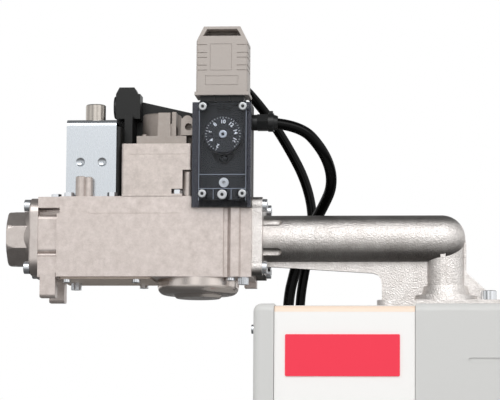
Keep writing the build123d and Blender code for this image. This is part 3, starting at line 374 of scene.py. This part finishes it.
def splineLength(curve):
    probe = bpy.data.curves.new("probe", "CURVE")
    probe.dimensions = "3D"
    copied = probe.splines.new("NURBS")
    source = curve.splines[0]
    copied.points.add(len(source.points) - 1)
    for a, b in zip(copied.points, source.points):
        a.co = b.co
    copied.order_u = 3
    copied.use_endpoint_u = True
    copied.resolution_u = 12
    thing = bpy.data.objects.new("probe", probe)
    scene.collection.objects.link(thing)
    bpy.context.view_layer.update()
    mesh = thing.to_mesh()
    total = sum((mesh.vertices[e.vertices[0]].co - mesh.vertices[e.vertices[1]].co).length for e in mesh.edges)
    thing.to_mesh_clear()
    bpy.data.objects.remove(thing)
    bpy.data.curves.remove(probe)
    return total


def makeCable(name, facts):
    curve = bpy.data.curves.new(name, "CURVE")
    curve.dimensions = "3D"
    spline = curve.splines.new("NURBS")
    spline.points.add(len(facts["points"]) - 1)
    for point, place in zip(spline.points, facts["points"]):
        point.co = (*[c * mm for c in place], 1.0)
    spline.order_u = 3
    spline.use_endpoint_u = True
    spline.resolution_u = 12
    length = splineLength(curve)
    curve.bevel_depth = facts["radius"] * mm
    curve.bevel_resolution = 8
    curve.use_fill_caps = True
    thing = bpy.data.objects.new(name, curve)
    scene.collection.objects.link(thing)
    thing.data.materials.append(finishes["cableJacket"])
    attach(thing, facts["body"])
    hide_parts(facts["node"])
    print(name, "length", round(length, 4))


makeCable("plugLead", plugCable)
makeCable("switchLead", switchCable)


def meshObject(name, mesh, finish, body):
    thing = bpy.data.objects.new(name, mesh)
    scene.collection.objects.link(thing)
    mesh.materials.append(finishes[finish])
    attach(thing, body)


def coverRibs():
    # moulded ribs on the inside of the clear cover's front wall, drawn in the pale edge finish as a painted highlight,
    # so they show as fine light lines
    joined = bmesh.new()
    wide, deep = coverBox["ribWidth"], coverBox["ribDepth"]
    y = coverBox["front"] + coverBox["wall"] + deep / 2
    for (x0, z0), (x1, z1) in coverBox["ribs"]:
        bar = bmesh.ops.create_cube(joined, size=1.0)["verts"]
        size = (max(abs(x1 - x0), wide), deep, max(abs(z1 - z0), wide))
        place = (Matrix.Translation(Vector(((x0 + x1) / 2, y, (z0 + z1) / 2)) * mm)
                 @ Matrix.Diagonal((*[c * mm for c in size], 1)))
        bmesh.ops.transform(joined, matrix=place, verts=bar)
    mesh = bpy.data.meshes.new("coverRibs")
    joined.to_mesh(mesh)
    joined.free()
    meshObject("coverRibs", mesh, "clearEdge", "burner")


coverFace, dialFace = -59.05, -54.62  # mm, just above the floor of the screws' sockets
screwRecessShade = {"radius": 1.75, "places": [
    (-370.3, coverFace, 332.0), (-330.3, coverFace, 332.0), (-370.3, coverFace, 244.6),
    (-330.3, coverFace, 244.6), (-350.3, coverFace, 243.6), (-350.3, dialFace, 304.6)]}


def recessShadows():
    # painted shade: a dark hexagonal disc at the floor of each screw's hexagon socket, standing in for the shade there
    joined = bmesh.new()
    for spot in screwRecessShade["places"]:
        disc = bmesh.ops.create_circle(joined, cap_ends=True, radius=screwRecessShade["radius"] * mm, segments=6)["verts"]
        place = Matrix.Translation(Vector(spot) * mm) @ Matrix.Rotation(math.pi / 2, 4, "X")
        bmesh.ops.transform(joined, matrix=place, verts=disc)
    mesh = bpy.data.meshes.new("screwRecessShade")
    joined.to_mesh(mesh)
    joined.free()
    meshObject("screwRecessShade", mesh, "blackSatin", "burner")


coverRibs()
recessShadows()

dialScale = {"x": -350.3, "y": -53.55, "z": 304.6, "tickRadius": 16.6, "figureRadius": 12.6, "height": 5.2,
             "figures": ["10", "12", "14", "16", "2", "4", "6", "8"], "step": 39.0, "stroke": 0.12, "ink": 0.03,
             "tickWidth": 0.34, "longTick": 2.2, "shortTick": 1.3, "tickRim": 1.1}


def printFigure(label, x, z, angle, height):
    text = bpy.data.curves.new("figure " + label, "FONT")
    text.body = label
    text.size = height * mm
    text.align_x = "CENTER"
    text.align_y = "CENTER"
    text.extrude = dialScale["ink"] * mm
    text.offset = dialScale["stroke"] * mm
    thing = bpy.data.objects.new("figure " + label, text)
    scene.collection.objects.link(thing)
    thing.matrix_world = (Matrix.Translation(Vector((x, dialScale["y"], z)) * mm)
                          @ Matrix.Rotation(-angle, 4, "Y").inverted() @ Matrix.Rotation(math.pi / 2, 4, "X"))
    bpy.context.view_layer.update()
    mesh = bpy.data.meshes.new_from_object(thing)
    mesh.transform(thing.matrix_world)
    bpy.data.objects.remove(thing)
    return mesh


def printDial():
    cx, cz = dialScale["x"], dialScale["z"]
    joined = bmesh.new()
    for i, label in enumerate(dialScale["figures"]):
        turns = i if i < 4 else i - len(dialScale["figures"])  # 10 stands at the top; 2 to 8 lie to its left
        angle = math.radians(turns * dialScale["step"])
        x = cx + dialScale["figureRadius"] * math.sin(angle)
        z = cz + dialScale["figureRadius"] * math.cos(angle)
        joined.from_mesh(printFigure(label, x, z, angle, dialScale["height"]))
    for i in range(-16, 15):
        angle = math.radians(i * dialScale["step"] / 4)
        long = dialScale["longTick" if i % 4 == 0 else "shortTick"]
        middle = dialScale["tickRadius"] + dialScale["tickRim"] - long / 2
        size = (dialScale["tickWidth"] * mm, 2 * dialScale["ink"] * mm, long * mm, 1)
        tick = bmesh.ops.create_cube(joined, size=1.0)["verts"]
        place = (Matrix.Translation(Vector((cx, dialScale["y"], cz)) * mm) @ Matrix.Rotation(angle, 4, "Y")
                 @ Matrix.Translation((0, 0, middle * mm)) @ Matrix.Diagonal(size))
        bmesh.ops.transform(joined, matrix=place, verts=tick)
    mesh = bpy.data.meshes.new("dialPrint")
    joined.to_mesh(mesh)
    joined.free()
    meshObject("dialPrint", mesh, "print", "dial")


printDial()
print("dial printed")


studio = {
    "floorZ": -0.1702, "floorSize": 12.0, "worldLight": 0.6, "screenStrength": 1.7, "floorReach": 3.2,
    "flags": [(0.0, 0.5), (0.24, 0.3), (0.34, 0.6), (0.4, 1.0), (0.54, 1.0), (0.62, 0.6), (0.7, 0.6),
              (0.86, 1.1), (1.0, 0.9)],
    "backdrop": [(0.0, 0.05), (0.44, 0.3), (0.5, 1.0), (0.62, 0.9), (0.72, 0.3), (1.0, 0.14)],
    "floorInMetal": [(0.0, 0.12), (0.12, 0.2), (0.22, 0.4), (0.34, 0.7), (0.6, 0.9), (1.0, 1.0)],
    "screen": [(0.0, 0.04), (0.15, 0.08), (0.44, 0.46), (0.54, 0.68), (0.62, 0.84), (0.72, 0.9), (0.8, 0.7),
               (0.88, 0.4), (0.94, 0.2), (1.0, 0.14)],
}


def makeFloor():
    half = studio["floorSize"] / 2
    mesh = bpy.data.meshes.new("floor")
    mesh.from_pydata([(-half, -half, studio["floorZ"]), (half, -half, studio["floorZ"]),
                      (half, half, studio["floorZ"]), (-half, half, studio["floorZ"])], [], [(0, 1, 2, 3)])
    floor = bpy.data.objects.new("floor", mesh)
    scene.collection.objects.link(floor)
    material, tree, shader = newMaterial("pale floor", {"Base Color": linearColour("#DEDEDE"), "Roughness": 0.9})
    path = addNode(tree, "ShaderNodeLightPath")
    place = addNode(tree, "ShaderNodeNewGeometry")
    split = addNode(tree, "ShaderNodeSeparateXYZ", None, {"Vector": place.outputs["Position"]})
    ahead = addNode(tree, "ShaderNodeMapRange", {"From Min": 0.0, "From Max": -studio["floorReach"]},
                    {"Value": split.outputs["Y"]})
    tone = addNode(tree, "ShaderNodeValToRGB", None, {"Fac": ahead.outputs["Result"]})
    setTones(tone, studio["floorInMetal"])
    dim = addNode(tree, "ShaderNodeEmission", {"Strength": 1.0}, {"Color": tone.outputs["Color"]})
    mix = addNode(tree, "ShaderNodeMixShader", None, {"Fac": path.outputs["Is Glossy Ray"]})
    tree.links.new(shader.outputs["BSDF"], mix.inputs[1])
    tree.links.new(dim.outputs["Emission"], mix.inputs[2])
    tree.links.new(mix.outputs["Shader"], tree.nodes["Material Output"].inputs["Surface"])
    mesh.materials.append(material)


def makeWorld():
    world = bpy.data.worlds.new("studio")
    scene.world = world
    world.use_nodes = True
    tree = world.node_tree
    tree.nodes.clear()
    path = addNode(tree, "ShaderNodeLightPath")
    place = addNode(tree, "ShaderNodeTexCoord")
    split = addNode(tree, "ShaderNodeSeparateXYZ", None, {"Vector": place.outputs["Generated"]})
    # what metal mirrors: a tall white screen in front, a dimmer ceiling, a dark floor, and the white backdrop behind
    height = addNode(tree, "ShaderNodeMapRange", {"From Min": -1.0, "From Max": 1.0}, {"Value": split.outputs["Z"]})
    screen = addNode(tree, "ShaderNodeValToRGB", None, {"Fac": height.outputs["Result"]})
    setTones(screen, studio["screen"])
    front = addNode(tree, "ShaderNodeMath", {"operation": "MULTIPLY"})
    front.inputs[1].default_value = studio["screenStrength"]
    tree.links.new(screen.outputs["Color"], front.inputs[0])
    rear = addNode(tree, "ShaderNodeValToRGB", None, {"Fac": height.outputs["Result"]})
    setTones(rear, studio["backdrop"])
    behind = addNode(tree, "ShaderNodeMapRange", {"From Min": 0.1, "From Max": 0.5}, {"Value": split.outputs["Y"]})
    # black flags stand at both sides of the screen
    side = addNode(tree, "ShaderNodeMapRange", {"From Min": -1.0, "From Max": 1.0}, {"Value": split.outputs["X"]})
    flags = addNode(tree, "ShaderNodeValToRGB", None, {"Fac": side.outputs["Result"]})
    setTones(flags, studio["flags"])
    flagged = addNode(tree, "ShaderNodeMath", {"operation": "MULTIPLY"})
    tree.links.new(front.outputs["Value"], flagged.inputs[0])
    tree.links.new(flags.outputs["Color"], flagged.inputs[1])
    both = addNode(tree, "ShaderNodeMix", {"data_type": "FLOAT"})
    tree.links.new(behind.outputs["Result"], both.inputs[0])
    tree.links.new(flagged.outputs["Value"], both.inputs[2])
    tree.links.new(rear.outputs["Color"], both.inputs[3])
    seen = addNode(tree, "ShaderNodeMath", {"operation": "MAXIMUM"})
    tree.links.new(path.outputs["Is Camera Ray"], seen.inputs[0])
    tree.links.new(path.outputs["Is Transmission Ray"], seen.inputs[1])
    lit = addNode(tree, "ShaderNodeBackground", {"Color": (1, 1, 1, 1), "Strength": studio["worldLight"]})
    white = addNode(tree, "ShaderNodeBackground", {"Color": (1, 1, 1, 1), "Strength": 1.0})
    mirror = addNode(tree, "ShaderNodeBackground", {"Color": (1, 1, 1, 1)}, {"Strength": both.outputs[0]})
    first = addNode(tree, "ShaderNodeMixShader", None, {"Fac": path.outputs["Is Glossy Ray"]})
    tree.links.new(lit.outputs["Background"], first.inputs[1])
    tree.links.new(mirror.outputs["Background"], first.inputs[2])
    last = addNode(tree, "ShaderNodeMixShader", None, {"Fac": seen.outputs["Value"]})
    tree.links.new(first.outputs["Shader"], last.inputs[1])
    tree.links.new(white.outputs["Background"], last.inputs[2])
    addNode(tree, "ShaderNodeOutputWorld", None, {"Surface": last.outputs["Shader"]})


def softbox(name, place, aim, width, height, power):
    light = bpy.data.lights.new(name, "AREA")
    light.shape = "RECTANGLE"
    light.size, light.size_y = width, height
    light.energy = power
    thing = bpy.data.objects.new(name, light)
    scene.collection.objects.link(thing)
    way = Vector(aim) - Vector(place)
    thing.matrix_world = Matrix.Translation(place) @ way.to_track_quat("-Z", "Y").to_matrix().to_4x4()


makeFloor()
makeWorld()
softbox("keyBox", (-0.15, -1.6, 1.5), (-0.3, 0, 0.15), 2.4, 1.1, 21.5)
softbox("leftBox", (-2.1, -1.2, 0.7), (-0.4, 0, 0.2), 1.2, 1.4, 2.0)

lens = {"place": (-74.2, -3045.0, -107.9), "aim": (-323.6, -45.0, 239.6), "focal": 219.27, "roll": 0.0066}


def makeCamera():
    camera = bpy.data.cameras.new("camera")
    camera.lens = lens["focal"]
    camera.sensor_width = 36.0
    thing = bpy.data.objects.new("camera", camera)
    scene.collection.objects.link(thing)
    place = Vector(lens["place"]) * mm
    way = Vector(lens["aim"]) * mm - place
    turn = way.to_track_quat("-Z", "Y").to_matrix().to_4x4() @ Matrix.Rotation(lens["roll"], 4, "Z")
    thing.matrix_world = Matrix.Translation(place) @ turn
    camera.clip_end = 50
    scene.camera = thing


makeCamera()
scene.view_settings.view_transform = "Standard"
print("studio ready")
